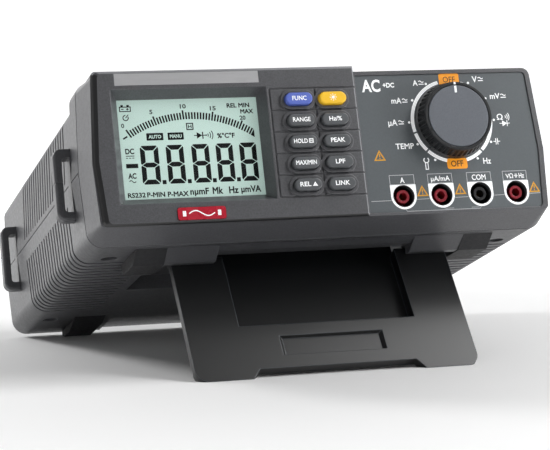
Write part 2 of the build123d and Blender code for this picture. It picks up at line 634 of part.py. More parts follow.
# --- electronics inside ---------------------------------------------------------------
def inside_parts():
    top = MAIN_BOARD_Z + BOARD
    parts["main_board"] = block((-98, 98), (34, 126), (MAIN_BOARD_Z, top))
    chips = None
    for x, y, size_x, size_y, height in ((-60, 70, 24, 24, 3), (-10, 70, 16, 16, 2.5),
                                         (30, 95, 10, 20, 9), (52, 95, 10, 20, 9),
                                         (-70, 105, 30, 12, 4), (5, 105, 12, 12, 7)):
        chip = block((x, x + size_x), (y, y + size_y), (top, top + height))
        chips = chip if chips is None else chips + chip
    parts["board_components"] = chips
    fuses = None
    clips = None
    for x, length, radius in ((48, 30, 3.2), (84, 38, 5.0)):
        z = top + radius + 1.2
        fuse = rod(x, z, radius, 42, 42 + length)
        fuses = fuse if fuses is None else fuses + fuse
        for y in (44, 42 + length - 8):
            clip = block((x - radius - 1, x + radius + 1), (y, y + 6), (top, z))
            clip -= rod(x, z, radius + 0.02, y - 1, y + 7)
            clips = clip if clips is None else clips + clip
    parts["fuses"] = fuses
    parts["fuse_clips"] = clips
    parts["buzzer"] = post(-30, 50, 6.5, top, top + 7.5)
    door = BATTERY_DOOR
    low = RECESS_DEPTH + WALL
    roof = low + 27.8
    tray = block((-77, 77), (45, 101), (low, roof + 1.8))
    tray -= block((door[0], door[1]), (door[2], door[3]), (low - 1, roof))
    tray -= block((-75.2, 75.2), (46.8, 99.2), (low + 1.6, roof))
    parts["battery_holder"] = tray
    cells = None
    for x in (-49.8, 0, 49.8):
        for y in (59.9, 86.1):
            cell = Pos(x, y, low + CELL_RADIUS + 1.8) * Rot(0, 90, 0)
            cell = cell * Cylinder(CELL_RADIUS, CELL_LENGTH)
            cells = cell if cells is None else cells + cell
    parts["battery_cells"] = cells
    parts["battery_door"] = block((door[0], door[1]), (door[2], door[3]), (RECESS_DEPTH, low))
    core = block((-80, -28), (136, 166), (WALL, 44)) - block((-67, -41), (130, 170), (11, 35))
    parts["transformer_core"] = core
    winding = block((-66.8, -41.2), (131, 171), (11.2, 34.8))
    parts["transformer_winding"] = winding - block((-60, -48), (136, 166), (10, 36))
    parts["transformer_core"] += block((-60, -48), (136, 166), (10, 36))
    floor = POWER_BOARD_Z + BOARD
    power = block((-8, 78), (134, 182), (POWER_BOARD_Z, floor))
    for x in (-2, 72):
        for y in (139, 177):
            power += post(x, y, 3.0, WALL, POWER_BOARD_Z)
    parts["power_board"] = power
    cans = None
    for x, y, radius, height in ((12, 150, 8, 22), (32, 150, 8, 22),
                                 (10, 170, 5, 14), (26, 170, 5, 14)):
        can = post(x, y, radius, floor, floor + height)
        cans = can if cans is None else cans + can
    fins = block((52, 72), (142, 150), (floor, floor + 3.4))
    for index in range(5):
        left = 52 + 4.6 * index
        fins += block((left, left + 1.6), (142, 150), (floor, floor + 22.4))
    parts["power_components"] = cans + fins


# --- rear connectors ------------------------------------------------------------------
def rear_parts():
    outer_y = CASE_LENGTH
    inlet = prism(window(*INLET, grow=-0.1), outer_y - 22, outer_y - 0.6)
    inlet += prism(window(*INLET, grow=1.6), outer_y, outer_y + 1.2)
    inlet += prism(window(*INLET, grow=-0.1), outer_y - 1, outer_y + 0.5)
    inlet -= prism(window(*INLET, grow=-3.2), outer_y - 15, outer_y + 2)
    for x, z in ((74, 31.5), (68.5, 26), (79.5, 26)):
        inlet += block((x - 1, x + 1), (outer_y - 16, outer_y - 8.5), (z - 2, z + 2))
    frame = prism(window(*ROCKER, grow=-0.1), outer_y - 14, outer_y + 0.5)
    frame += prism(window(*ROCKER, grow=1.4), outer_y, outer_y + 1.2)
    frame -= prism(window(*ROCKER, grow=-1.6), outer_y - 12, outer_y + 3)
    parts["inlet_module"] = inlet + frame
    parts["power_rocker"] = power_rocker()
    serial = prism(window(*SERIAL, grow=-0.1), outer_y - 8, outer_y + 0.4)
    serial += prism(window(*SERIAL, grow=1.2), outer_y, outer_y + 0.8)
    shell = Pos(sum(SERIAL[:2]) / 2, sum(SERIAL[2:]) / 2) * RectangleRounded(17, 8.4, 2)
    hollow = Pos(sum(SERIAL[:2]) / 2, sum(SERIAL[2:]) / 2) * RectangleRounded(15.8, 7.2, 1.6)
    serial += prism(shell, outer_y, outer_y + 5)
    serial -= prism(hollow, outer_y - 5, outer_y + 6)
    parts["serial_connector"] = serial


def power_rocker():
    """Seesaw of the mains switch, at rest with its upper half pressed in."""
    left, right = ROCKER[0] + 2.0, ROCKER[1] - 2.0
    half = (ROCKER[3] - ROCKER[2]) / 2 - 2.4
    points = [(-3.0, -half), (2.2, -half), (3.4, -half * 0.5), (2.2, 0), (3.4, half * 0.5),
              (2.2, half), (-3.0, half), (-5.5, 0)]
    shape = profile(points, left, right)
    place = Pos(0, ROCKER_AXIS_Y, ROCKER_AXIS_Z) * Rot(ROCKER_TILT, 0, 0)
    return place * shape


# --- feet and stand -------------------------------------------------------------------
def front_feet():
    points = ((5.5, 0), (16.0, -FRONT_FOOT_DROP), (38.0, -FRONT_FOOT_DROP), (42.0, 0))
    foot = profile(points, *FRONT_FOOT_X)
    return both_sides(foot)


def rear_feet():
    """Wedge feet; the facet behind REAR_FOOT_EDGE_Y lies on the table when tilted."""
    rise = 4.0 * tan(radians(TILT))
    points = ((178, 0), (198, -REAR_FOOT_DROP), (REAR_FOOT_EDGE_Y, -REAR_FOOT_DROP),
              (REAR_FOOT_EDGE_Y + 4, -REAR_FOOT_DROP + rise), (REAR_FOOT_EDGE_Y + 5.5, -2.4),
              (REAR_FOOT_EDGE_Y + 5.5, 0))
    foot = profile(points, *REAR_FOOT_X)
    plane = Plane(origin=(0, 170, 0), x_dir=(1, 0, 0), z_dir=(0, -1, 0))
    wedge = Polygon((REAR_FOOT_X[0] - 1, -REAR_FOOT_DROP - 1), (REAR_FOOT_X[0] + 3.2, -REAR_FOOT_DROP - 1),
                    (REAR_FOOT_X[0] - 1, -REAR_FOOT_DROP + 3.2), align=None)
    foot -= extrude(plane * wedge, amount=-60)
    return both_sides(foot)


def stand_tilt():
    """Lean of the case when it rests on the open stand and on the rear feet."""
    lean = radians(STAND_LEAN)
    # lowest front point of the open stand
    y = STAND_AXIS_Y - STAND_LENGTH * sin(lean) - STAND_FRONT_OFFSET * cos(lean)
    z = STAND_AXIS_Z - STAND_LENGTH * cos(lean) + STAND_FRONT_OFFSET * sin(lean)
    return degrees(atan2(-REAR_FOOT_DROP - z, REAR_FOOT_EDGE_Y - y))


TILT = stand_tilt()


def stand_flat():
    """Stand in its own frame: s runs along y from the hinge axis, front face towards -z."""
    front = -STAND_FRONT_OFFSET
    length = STAND_LENGTH
    half = STAND_HALF
    notch_top = length - NOTCH_HEIGHT
    points = ((half, 5.0), (half, length), (NOTCH_HALF[1], length), (NOTCH_HALF[0], notch_top),
              (-NOTCH_HALF[0], notch_top), (-NOTCH_HALF[1], length), (-half, length), (-half, 5.0))
    sketch = Polygon(*points, align=None)
    corners = [v for v in sketch.vertices() if abs(v.X) > half - 1 and v.Y > length - 1]
    sketch = fillet(corners, 7.0)
    plate = extrude(Plane.XY.offset(front) * sketch, amount=STAND_THICKNESS)
    # hinge ears at both ends, rounded about the axis
    for x in ((-half, -52.0), (52.0, half)):
        ear = Pos(sum(x) / 2, 0, 0) * Rot(0, 90, 0) * Cylinder(STAND_FRONT_OFFSET, x[1] - x[0])
        plate += ear + block(x, (0, 6), (front, STAND_FRONT_OFFSET))
    # tray behind the opening in the middle
    tray_back = front + TRAY_DEPTH + TRAY_FLOOR
    plate += block((-TRAY_HALF - 1.8, TRAY_HALF + 1.8), (5.0, TRAY_LENGTH + 1.8), (front, tray_back))
    plate += block((-52.5, 52.5), (5.0, 9.0), (front, STAND_FRONT_OFFSET))
    plate -= block((-TRAY_HALF, TRAY_HALF), (-4, TRAY_LENGTH), (front - 1, front + TRAY_DEPTH))
    plate += block((-TRAY_HALF - 1.8, TRAY_HALF + 1.8), (-2.5, 6.0), (front + TRAY_DEPTH, tray_back))
    # finger grip
    grip = loft([Plane.XY.offset(front - 0.1) * (Pos(0, GRIP_MIDDLE) * Rectangle(52.5, 11.2)),
                 Plane.XY.offset(front + 1.8) * (Pos(0, GRIP_MIDDLE) * Rectangle(49, 9.4))])
    plate -= grip
    # foot ends cut parallel to the table when the stand is open
    slope = STAND_LEAN + TILT
    cut = Pos(0, length, front) * Rot(slope, 0, 0) * Pos(0, 10, 0) * Box(200, 20, 60)
    plate -= cut
    for side in (-1, 1):
        hole = Pos(side * half, 0, 0) * Rot(0, 90, 0)
        plate -= hole * Cylinder(PIN_RADIUS + 0.05, 14)
    return plate


def stand():
    """The open stand, hanging from its hinge axis and leaning forwards."""
    place = Pos(0, STAND_AXIS_Y, STAND_AXIS_Z) * Rot(-90 - STAND_LEAN, 0, 0)
    return place * stand_flat()


def stand_pins():
    pins = None
    for side in (-1, 1):
        pin = Pos(side * (STAND_HALF - 0.3), STAND_AXIS_Y, STAND_AXIS_Z) * Rot(0, 90, 0)
        pin = pin * Cylinder(PIN_RADIUS, 8.4)
        pins = pin if pins is None else pins + pin
    return pins


def case_screws():
    screws = None
    for x, y in SCREWS:
        screw = post(x, y, 3.2, 3.6, 6.0) + post(x, y, 1.2, 6.0, 50.0)
        screw -= Pos(x, y, 3.6) * Box(4.6, 1.0, 1.6)
        screw -= Pos(x, y, 3.6) * Box(1.0, 4.6, 1.6)
        screws = screw if screws is None else screws + screw
    return screws


# --- assembly -------------------------------------------------------------------------
def build():
    parts["bottom_shell"] = bottom_shell()
    parts["top_shell"] = top_shell()
    parts["rear_cover"] = rear_cover()
    parts["front_bezel"] = front_bezel()
    parts["dial_panel"] = dial_panel()
    display_parts()
    keypad_parts()
    selector_parts()
    socket_parts()
    inside_parts()
    rear_parts()
    parts["front_feet"] = front_feet()
    parts["rear_feet"] = rear_feet()
    parts["side_loops"] = side_loops()
    parts["stand"] = stand()
    parts["stand_pins"] = stand_pins()
    parts["case_screws"] = case_screws()


def place_on_table():
    """Lean everything back and put the middle of the footprint at the origin."""
    lean = Rot(-TILT, 0, 0)
    for name in parts:
        parts[name] = lean * parts[name]
    boxes = [shape.bounding_box() for shape in parts.values()]
    low = [min(getattr(box.min, axis) for box in boxes) for axis in "XYZ"]
    high = [max(getattr(box.max, axis) for box in boxes) for axis in "XYZ"]
    shift = (-(low[0] + high[0]) / 2, -(low[1] + high[1]) / 2, -low[2])
    for name in parts:
        parts[name] = Pos(*shift) * parts[name]
    return shift


def write_parts():
    os.makedirs("parts", exist_ok=True)
    for name, shape in parts.items():
        export_step(shape, f"parts/{name}.step")


build()
offset = place_on_table()
write_parts()
print("tilt", round(TILT, 4), "shift", [round(value, 4) for value in offset], "nodes", len(parts))
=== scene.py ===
import json
import math

import bmesh
import bpy
from mathutils import Matrix, Vector


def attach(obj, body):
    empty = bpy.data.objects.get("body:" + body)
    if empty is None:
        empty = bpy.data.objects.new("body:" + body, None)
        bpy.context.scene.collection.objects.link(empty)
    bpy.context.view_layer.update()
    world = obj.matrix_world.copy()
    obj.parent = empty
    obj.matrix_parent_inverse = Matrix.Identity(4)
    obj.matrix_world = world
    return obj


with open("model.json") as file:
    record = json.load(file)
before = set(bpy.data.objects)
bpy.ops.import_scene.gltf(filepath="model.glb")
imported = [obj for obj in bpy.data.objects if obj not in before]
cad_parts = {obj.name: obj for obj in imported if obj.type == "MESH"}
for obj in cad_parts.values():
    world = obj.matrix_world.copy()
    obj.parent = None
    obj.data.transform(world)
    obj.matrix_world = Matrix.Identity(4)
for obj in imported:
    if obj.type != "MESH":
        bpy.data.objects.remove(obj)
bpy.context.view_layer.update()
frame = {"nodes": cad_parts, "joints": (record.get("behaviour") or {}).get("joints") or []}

# The case leans back on its stand. Everything printed on the case is laid out in the case's own
# frame, in millimetres: x right, y back from the bezel joint, z up from the case's underside.
MM = 0.001
JOINTS = {joint["name"]: joint for joint in frame["joints"]}
SHEET_X, SHEET_Z = -0.5, -0.3                   # place of the printed sheet on the case
SHEET_DIAL = (68.0, 52.2)                       # selector axis on the sheet
DIAL_X, DIAL_Z = SHEET_DIAL[0] + SHEET_X, SHEET_DIAL[1] + SHEET_Z
DIAL_Y = -18.5                                  # back of the knob
TURN = JOINTS["selector_turn"]
BACK = Vector(TURN["axis"]).normalized()
RIGHT = Vector((1, 0, 0))
UP = RIGHT.cross(BACK)
ORIGIN = Vector(TURN["pos_m"]) - (RIGHT * DIAL_X + BACK * DIAL_Y + UP * DIAL_Z) * MM
CASE = Matrix((RIGHT, BACK, UP)).transposed().to_4x4()
CASE.translation = ORIGIN
CASE = CASE @ Matrix.Scale(MM, 4)

PANEL_Y = -18.1         # front of the dial panel
BADGE_Y = -20.85        # front of the badge
LCD_Y = -11.75          # front of the liquid crystal cell
KEY_Y = -24.0           # front of the key caps
CAP_Y = -28.15          # front of the knob cap
SKIRT_Y = -27.9         # front edge of the knob's skirt
INK = 0.04              # thickness of printed marks
LCD_INK = 0.05          # thickness of the display's segments
LCD_SUNK = 0.02         # how deep the segments reach into the cell

# painted dark reflection and painted highlight on the edges of the bezel's raised block: in front
# of these depths and beyond these lines
DARK_REFLECTION_Y, HIGHLIGHT_Y = -18.62, -17.9
EDGE_LEFT, EDGE_RIGHT = -104.0, 15.0
EDGE_LOW, EDGE_HIGH = 9.0, 77.0
EDGE_DARK_REFLECTION, EDGE_HIGHLIGHT = (0.006, 0.006, 0.007), (0.26, 0.265, 0.28)

RELIEF = 0.00006        # depth of the grain, in metres
ROUGH_SCALE = 0.35      # roughness drifts at this share of the grain's fineness
RIM_FULL, RIM_GONE = 0.86, 0.995      # cosines between which an edge's lightening, partly wear and partly painted highlight, fades out
DRIFT = 0.86            # darkest tone of the slow drift, as a share of the colour
TINY = 1e-6             # shorter than any step along a printed line, in millimetres


# --- materials ------------------------------------------------------------------------
class Nodes:
    """Small helper to wire a Principled material."""

    def __init__(self, name):
        self.material = bpy.data.materials.new(name)
        self.material.use_nodes = True
        self.tree = self.material.node_tree
        self.tree.nodes.clear()
        output = self.tree.nodes.new("ShaderNodeOutputMaterial")
        self.shader = self.tree.nodes.new("ShaderNodeBsdfPrincipled")
        self.link(self.shader.outputs[0], output.inputs["Surface"])
        self.coordinates = self.tree.nodes.new("ShaderNodeTexCoord").outputs["Object"]

    def link(self, source, target):
        self.tree.links.new(source, target)

    def noise(self, scale, detail=2.0, rough=0.5, stretch=None):
        source = self.coordinates
        if stretch is not None:
            mapping = self.tree.nodes.new("ShaderNodeMapping")
            mapping.inputs["Scale"].default_value = stretch
            self.link(source, mapping.inputs["Vector"])
            source = mapping.outputs[0]
        node = self.tree.nodes.new("ShaderNodeTexNoise")
        node.inputs["Scale"].default_value = scale
        node.inputs["Detail"].default_value = detail
        node.inputs["Roughness"].default_value = rough
        self.link(source, node.inputs["Vector"])
        return node.outputs["Fac"]

    def spread(self, value, low, high, from_low=0.3, from_high=0.7):
        node = self.tree.nodes.new("ShaderNodeMapRange")
        node.inputs["From Min"].default_value = from_low
        node.inputs["From Max"].default_value = from_high
        node.inputs["To Min"].default_value = low
        node.inputs["To Max"].default_value = high
        self.link(value, node.inputs["Value"])
        return node.outputs[0]

    def math(self, operation, first, second):
        node = self.tree.nodes.new("ShaderNodeMath")
        node.operation = operation
        for socket, value in zip(node.inputs, (first, second)):
            if isinstance(value, (int, float)):
                socket.default_value = value
            else:
                self.link(value, socket)
        return node.outputs[0]

    def mix(self, factor, first, second):
        node = self.tree.nodes.new("ShaderNodeMix")
        node.data_type = "RGBA"
        wires = ((node.inputs[0], factor), (node.inputs[6], first), (node.inputs[7], second))
        for socket, value in wires:
            if isinstance(value, (int, float)):
                socket.default_value = value
            elif isinstance(value, tuple):
                socket.default_value = (*value, 1)
            else:
                self.link(value, socket)
        return node.outputs[2]


def tone(color, factor):
    return tuple(min(1.0, channel * factor) for channel in color)


def case_axis(n, direction):
    """Distance of the shaded point along a direction of the case, in millimetres."""
    dot = n.tree.nodes.new("ShaderNodeVectorMath")
    dot.operation = "DOT_PRODUCT"
    n.link(n.coordinates, dot.inputs[0])
    dot.inputs[1].default_value = direction / MM
    return n.math("SUBTRACT", dot.outputs["Value"], direction.dot(ORIGIN) / MM)


def facing(n, direction):
    """How far the surface faces along a direction of the case."""
    dot = n.tree.nodes.new("ShaderNodeVectorMath")
    dot.operation = "DOT_PRODUCT"
    n.link(n.tree.nodes.new("ShaderNodeTexCoord").outputs["Normal"], dot.inputs[0])
    dot.inputs[1].default_value = direction
    return dot.outputs["Value"]


def paint_edge_reflection_and_highlight(n, base):
    """Painted light on the front edges of the bezel: a painted dark reflection down the left side
    and along the bottom of the raised block, and a painted highlight along its top, its right side
    and the right of the frame."""
    across, depth, height = case_axis(n, RIGHT), case_axis(n, BACK), case_axis(n, UP)
    to_right, to_top = facing(n, RIGHT), facing(n, UP)

    def edge(test, turned, how_far, place, line):
        return n.math("MULTIPLY", n.math(test, turned, how_far), n.math(test, place, line))

    front = n.math("LESS_THAN", depth, DARK_REFLECTION_Y)
    left = edge("LESS_THAN", to_right, -0.2, across, EDGE_LEFT)
    below = edge("LESS_THAN", to_top, -0.25, height, EDGE_LOW)
    # painted dark reflection along the block's left and bottom edges
    base = n.mix(n.math("MULTIPLY", front, n.math("MAXIMUM", left, below)), base, EDGE_DARK_REFLECTION)
    right = edge("GREATER_THAN", to_right, 0.3, across, EDGE_RIGHT)
    top = edge("GREATER_THAN", to_top, 0.3, height, EDGE_HIGH)
    # painted highlight along the block's top and right edges and the right of the frame
    pale = n.math("MULTIPLY", n.math("LESS_THAN", depth, HIGHLIGHT_Y), n.math("MAXIMUM", right, top))
    return n.mix(pale, base, EDGE_HIGHLIGHT)


def finish(name, color, rough, grain=1500.0, bump=0.3, vary=0.16, blotch=22.0,
           rough_vary=0.08, edge=0.0, wear_and_highlight=0.0, metallic=0.0, stretch=None, specular=0.5, coat=0.0,
           coat_rough=0.2, paint=None, glow=0.0, rim_wear_and_highlight_tone=2.0):
    """Procedural surface: fine grain in colour, roughness and relief, slow drift of tone, and
    optionally rounded edges lightened partly as wear and partly as painted highlight, painted
    reflections and highlights by place, and a slight painted glow though the part is no lamp."""
    n = Nodes(name)
    fine = n.noise(grain, 3.0, 0.6, stretch)
    slow = n.noise(blotch, 3.0, 0.5)
    base = n.mix(n.spread(fine, 0, 1), tone(color, 1 - vary), tone(color, 1 + vary))
    base = n.mix(n.spread(slow, 0, 0.35), base, tone(color, DRIFT))
    normal = None
    if edge > 0:
        bevel = n.tree.nodes.new("ShaderNodeBevel")
        bevel.samples = 6
        bevel.inputs["Radius"].default_value = edge
        normal = bevel.outputs[0]
        if wear_and_highlight > 0:
            flat = n.tree.nodes.new("ShaderNodeNewGeometry").outputs["Normal"]
            dot = n.tree.nodes.new("ShaderNodeVectorMath")
            dot.operation = "DOT_PRODUCT"
            n.link(normal, dot.inputs[0])
            n.link(flat, dot.inputs[1])
            # rounded edges lightened, partly as wear and partly as painted highlight
            rim = n.spread(dot.outputs["Value"], wear_and_highlight, 0.0, RIM_FULL, RIM_GONE)
            base = n.mix(rim, base, tone(color, rim_wear_and_highlight_tone))
    if paint is not None:
        base = paint(n, base)
    n.link(base, n.shader.inputs["Base Color"])
    uneven = n.noise(grain * ROUGH_SCALE, 2.0)
    n.link(n.spread(uneven, rough - rough_vary, rough + rough_vary), n.shader.inputs["Roughness"])
    # painted glow: the part gives off light in its own colour though it is no lamp
    if glow > 0:
        n.link(base, n.shader.inputs["Emission Color"])
        n.shader.inputs["Emission Strength"].default_value = glow
    n.shader.inputs["Metallic"].default_value = metallic
    n.shader.inputs["Specular IOR Level"].default_value = specular
    n.shader.inputs["Coat Weight"].default_value = coat
    n.shader.inputs["Coat Roughness"].default_value = coat_rough
    node = n.tree.nodes.new("ShaderNodeBump")
    node.inputs["Strength"].default_value = bump
    node.inputs["Distance"].default_value = RELIEF
    n.link(fine, node.inputs["Height"])
    if normal is not None:
        n.link(normal, node.inputs["Normal"])
    n.link(node.outputs[0], n.shader.inputs["Normal"])
    return n.material


def clear_window():
    n = Nodes("window_acrylic")
    n.link(n.mix(n.spread(n.noise(60), 0, 1), (0.02, 0.03, 0.03), (0.03, 0.04, 0.04)),
           n.shader.inputs["Base Color"])
    n.link(n.spread(n.noise(900), 0.04, 0.09), n.shader.inputs["Roughness"])
    n.shader.inputs["Alpha"].default_value = 0.04
    n.shader.inputs["Specular IOR Level"].default_value = 0.3
    return n.material


MATERIALS = {
    "shell": finish("shell_plastic", (0.062, 0.063, 0.069), 0.40, vary=0.24, edge=0.0005, wear_and_highlight=0.45,
                    rough_vary=0.05, specular=0.8, rim_wear_and_highlight_tone=2.6),
    # the bezel gets a painted dark reflection and painted highlights along its block's edges
    "bezel": finish("bezel_plastic", (0.078, 0.079, 0.086), 0.37, grain=1300, vary=0.28,
                    edge=0.0006, rough_vary=0.04, wear_and_highlight=0.4, specular=0.8, rim_wear_and_highlight_tone=2.4,
                    paint=paint_edge_reflection_and_highlight),
    "panel": finish("panel_sheet", (0.108, 0.122, 0.131), 0.42, grain=1100, vary=0.06, bump=0.12),
    "strip": finish("strip_silver", (0.41, 0.41, 0.42), 0.42, grain=700, vary=0.05, bump=0.1,
                    stretch=(0.15, 1, 1)),
    "badge": finish("badge_red", (0.50, 0.012, 0.032), 0.30, grain=500, vary=0.06, bump=0.1,
                    coat=0.3, edge=0.0003),
    "window": clear_window(),
    # painted glow: the display cell glows though no lamp lights it
    "lcd": finish("lcd_mint", (0.50, 0.655, 0.60), 0.34, grain=2200, vary=0.02, bump=0.04, blotch=8,
                  glow=0.45),
    "lcd_ink": finish("lcd_segments", (0.004, 0.006, 0.006), 0.5, grain=2200, vary=0.1, bump=0.05,
                      specular=0.2),
    "lcd_faint": finish("lcd_small_segments", (0.07, 0.10, 0.095), 0.5, grain=2200, vary=0.1,
                        bump=0.05, specular=0.2),
    "light": finish("light_guide", (0.8, 0.84, 0.8), 0.35, grain=900, vary=0.03),
    "black": finish("black_plastic", (0.014, 0.014, 0.016), 0.42, grain=1600, edge=0.0004,
                    wear_and_highlight=0.2),
    "elastomer": finish("grey_elastomer", (0.07, 0.07, 0.075), 0.7, grain=1200),
    "board": finish("circuit_board", (0.02, 0.13, 0.05), 0.35, grain=2600, vary=0.3, coat=0.3),
    "key_grey": finish("key_grey", (0.090, 0.096, 0.103), 0.40, grain=1800, vary=0.08, edge=0.0005,
                       wear_and_highlight=0.25, coat=0.2, coat_rough=0.3),
    # painted glow on the blue key
    "key_blue": finish("key_blue", (0.10, 0.155, 0.56), 0.40, grain=1800, vary=0.06, edge=0.0005,
                       wear_and_highlight=0.15, coat=0.2, coat_rough=0.3, glow=0.06),
    # painted glow on the amber key
    "key_amber": finish("key_amber", (0.88, 0.52, 0.020), 0.40, grain=1800, vary=0.05, edge=0.0005,
                        wear_and_highlight=0.1, coat=0.2, coat_rough=0.3, glow=0.18),
    "knob": finish("knob_plastic", (0.012, 0.013, 0.015), 0.34, grain=1500, vary=0.15, edge=0.0003,
                   wear_and_highlight=0.5),
    "cap": finish("cap_plastic", (0.122, 0.133, 0.154), 0.46, grain=1400, vary=0.10, bump=0.2,
                  edge=0.0003),
    "nylon": finish("white_nylon", (0.70, 0.70, 0.65), 0.45, grain=900, vary=0.05),
    "brass": finish("contact_brass", (0.75, 0.55, 0.24), 0.28, grain=1800, vary=0.1, metallic=1.0,
                    rough_vary=0.1),
    "steel": finish("zinc_steel", (0.55, 0.55, 0.57), 0.32, grain=1500, vary=0.1, metallic=1.0,
                    rough_vary=0.12, edge=0.0002),
    "socket_red": finish("socket_red", (0.27, 0.006, 0.018), 0.34, grain=1200, vary=0.08,
                         edge=0.0003, wear_and_highlight=0.4, coat=0.3),
    "socket_black": finish("socket_black", (0.016, 0.016, 0.018), 0.32, grain=1200, edge=0.0003,
                           wear_and_highlight=0.4),
    "laminations": finish("steel_laminations", (0.13, 0.13, 0.14), 0.45, grain=1200,
                          stretch=(1, 0.05, 0.05), vary=0.3, metallic=0.6),
    "winding": finish("taped_winding", (0.55, 0.38, 0.08), 0.45, grain=700, stretch=(1, 1, 6),
                      vary=0.15),
    "parts_black": finish("component_body", (0.02, 0.02, 0.024), 0.4, grain=1000, vary=0.3),
    "ceramic": finish("fuse_ceramic", (0.78, 0.76, 0.70), 0.3, grain=700, vary=0.05, coat=0.4),
    "cell": finish("cell_wrap", (0.05, 0.05, 0.10), 0.25, grain=400, vary=0.2, coat=0.5),
    "rubber": finish("foot_rubber", (0.013, 0.013, 0.015), 0.60, grain=1700, vary=0.25, bump=0.4,
                     edge=0.0005, wear_and_highlight=0.2),
    # painted highlight: the stand's rounded edges are lightened into pale lines
    "stand": finish("stand_satin", (0.003, 0.0035, 0.004), 0.32, grain=2000, vary=0.12, bump=0.01,
                    edge=0.0006, wear_and_highlight=1.0, rough_vary=0.015, specular=0.8, rim_wear_and_highlight_tone=30.0),
    # painted glow on the white print
    "white": finish("print_white", (0.90, 0.91, 0.92), 0.45, grain=1500, vary=0.03, bump=0.1,
                    glow=0.30),
    "pale": finish("print_pale_grey", (0.60, 0.61, 0.63), 0.45, grain=1500, vary=0.06, bump=0.1),
    # painted glow on the orange print
    "orange": finish("print_orange", (0.90, 0.33, 0.012), 0.45, grain=1500, vary=0.05, bump=0.1,
                     glow=0.22),
    "brown": finish("print_brown", (0.14, 0.06, 0.01), 0.45, grain=1500, vary=0.08, bump=0.1),
    # painted glow on the amber print
    "amber": finish("print_amber", (0.70, 0.34, 0.02), 0.45, grain=1500, vary=0.06, bump=0.1,
                    glow=0.1),
}

NODE_FINISH = {
    "shell": ("bottom_shell", "top_shell", "rear_cover", "battery_door", "side_loops"),
    "bezel": ("front_bezel",),
    "panel": ("dial_panel",),
    "strip": ("label_strip",),
    "badge": ("badge_plate",),
    "window": ("lcd_window",),
    "lcd": ("lcd_glass",),
    "light": ("backlight",),
    "black": ("lcd_frame", "socket_shrouds", "buzzer", "battery_holder", "inlet_module",
              "power_rocker", "serial_connector"),
    "elastomer": ("contact_strips", "keypad_mat"),
    "board": ("display_board", "keypad_board", "switch_board", "main_board", "power_board"),
    "key_grey": ("key_range", "key_frequency", "key_hold", "key_peak", "key_max_min", "key_filter",
                 "key_relative", "key_link"),
    "key_blue": ("key_function",),
    "key_amber": ("key_light",),
    "knob": ("selector_knob",),
    "cap": ("knob_cap",),
    "nylon": ("selector_shaft", "switch_rotor"),
    "brass": ("rotor_contacts", "socket_contacts", "fuse_clips"),
    "steel": ("detent", "stand_pins", "case_screws"),
    "socket_red": ("socket_amp", "socket_milliamp", "socket_volt"),
    "socket_black": ("socket_common",),
    "laminations": ("transformer_core",),
    "winding": ("transformer_winding",),
    "parts_black": ("board_components", "power_components"),
    "ceramic": ("fuses",),
    "cell": ("battery_cells",),
    "rubber": ("front_feet", "rear_feet"),
    "stand": ("stand",),
}
for key, names in NODE_FINISH.items():
    for name in names:
        mesh = frame["nodes"][name].data
        mesh.materials.clear()
        mesh.materials.append(MATERIALS[key])


# --- printed marks --------------------------------------------------------------------
def on_arc(x, z, radius, start, end, count):
    """Points on an arc. Angles run clockwise from straight up, in degrees."""
    points = []
    for index in range(count + 1):
        angle = math.radians(start + (end - start) * index / count)
        points.append((x + radius * math.sin(angle), z + radius * math.cos(angle)))
    return points


